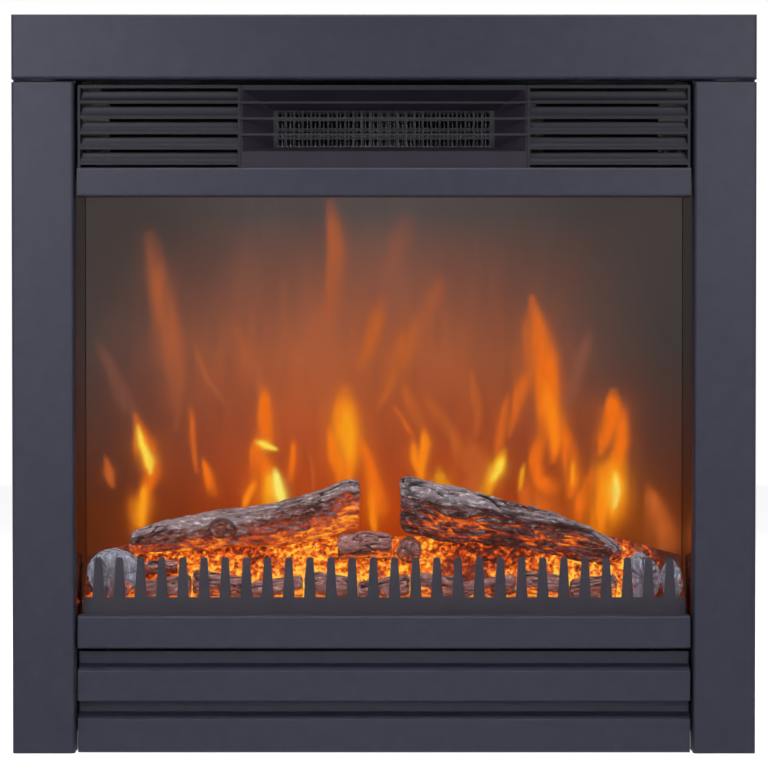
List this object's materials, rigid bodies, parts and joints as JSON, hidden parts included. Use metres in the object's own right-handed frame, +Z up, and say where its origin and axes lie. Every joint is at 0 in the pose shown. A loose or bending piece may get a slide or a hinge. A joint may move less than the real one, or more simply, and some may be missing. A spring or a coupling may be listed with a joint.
{
  "type": "built-in electric fireplace",
  "caption": "Built-in electric fireplace with satin black folded trim, louvred fan heater outlet, glazed log and ember flame effect and lift-off lower grille.",
  "frame": {"origin": "on the floor under the centre of the overall box", "axes": "+X to the viewer's right, +Y to the rear, +Z up; the front faces -Y"},
  "size_m": [0.6, 0.206, 0.596],
  "materials": {
    "trim_steel": "satin black powder coat",
    "casing_steel": "galvanised sheet",
    "inner_steel": "matt heat proof black",
    "louvre_plastic": "fine grained black moulding",
    "clear_glass": "clear toughened glass",
    "foam_seal": "black foam tape",
    "log_resin": "moulded and painted bark",
    "ember_resin": "translucent moulded embers",
    "flame_film": "diffusing acrylic lit from behind",
    "mirror_foil": "polished reflecting strip",
    "aluminium": "bare fins and blades",
    "shaft_steel": "ground rod",
    "core_iron": "stacked laminations",
    "copper": "varnished winding",
    "bronze": "sintered bearing",
    "nylon": "natural nylon",
    "circuit_green": "solder masked laminate",
    "component_black": "moulded cases",
    "lamp_white": "lit lamp",
    "magnet": "plated magnet",
    "zinc": "bright zinc plate"
  },
  "bodies": {
    "firebox": {"trim_header": "trim_steel", "trim_jamb_left": "trim_steel", "trim_jamb_right": "trim_steel", "upper_rail": "trim_steel", "lower_rail": "trim_steel", "rail_brackets": "inner_steel", "magnet_catches": "zinc", "louvre_left": "louvre_plastic", "louvre_right": "louvre_plastic", "outlet_nozzle": "louvre_plastic", "outlet_bars": "louvre_plastic", "outlet_grid": "louvre_plastic", "front_glass": "clear_glass", "glass_seals": "foam_seal", "glass_clips": "inner_steel", "fret": "inner_steel", "bed_tray": "inner_steel", "ember_bed": "ember_resin", "log_left": "log_resin", "log_right": "log_resin", "log_middle": "log_resin", "front_logs": "log_resin", "flame_screen": "flame_film", "flame_mask": "inner_steel", "rotor_motor": "zinc", "rotor_bush": "nylon", "led_channels": "casing_steel", "led_boards": "circuit_green", "leds": "lamp_white", "heat_shield": "casing_steel", "heater_duct": "casing_steel", "ptc_element": "aluminium", "thermal_cutout": "component_black", "fan_scroll": "casing_steel", "fan_bearings": "bronze", "fan_motor_stack": "core_iron", "fan_motor_coil": "copper", "base_pan": "casing_steel", "side_panel_left": "casing_steel", "side_panel_right": "casing_steel", "top_panel": "casing_steel", "back_panel": "casing_steel", "fixing_brackets": "zinc", "casing_screws": "zinc", "control_board": "circuit_green", "board_parts": "component_black", "gland_body": "component_black", "gland_nut": "component_black", "switch_panel": "inner_steel", "switch_housings": "component_black"},
    "flame_rotor": {"rotor_shaft": "shaft_steel", "rotor_flags": "mirror_foil"},
    "fan_rotor": {"fan_wheel": "aluminium", "fan_shaft": "shaft_steel"},
    "grille": {"lower_grille": "trim_steel", "grille_magnets": "magnet"},
    "power_rocker": {"rocker_power": "component_black"},
    "flame_rocker": {"rocker_flame": "component_black"},
    "heat_rocker": {"rocker_heat": "component_black"}
  },
  "joints": [
    {"name": "flame_rotor_spin", "type": "hinge", "parent": "firebox", "child": "flame_rotor", "pos_m": [0, 0.037, 0.088], "axis": [1, 0, 0], "continuous": true},
    {"name": "fan_spin", "type": "hinge", "parent": "firebox", "child": "fan_rotor", "pos_m": [0, -0.0015, 0.506], "axis": [1, 0, 0], "continuous": true},
    {"name": "grille_pull", "type": "slide", "parent": "firebox", "child": "grille", "axis": [0, -1, 0], "range_m": [0, 0.1]},
    {"name": "power_rocker_tilt", "type": "hinge", "parent": "firebox", "child": "power_rocker", "pos_m": [0.09, -0.0718, 0.042], "axis": [1, 0, 0], "range_deg": [-20, 0]},
    {"name": "flame_rocker_tilt", "type": "hinge", "parent": "firebox", "child": "flame_rocker", "pos_m": [0.12, -0.0718, 0.042], "axis": [1, 0, 0], "range_deg": [-20, 0]},
    {"name": "heat_rocker_tilt", "type": "hinge", "parent": "firebox", "child": "heat_rocker", "pos_m": [0.15, -0.0718, 0.042], "axis": [1, 0, 0], "range_deg": [-20, 0]}
  ]
}
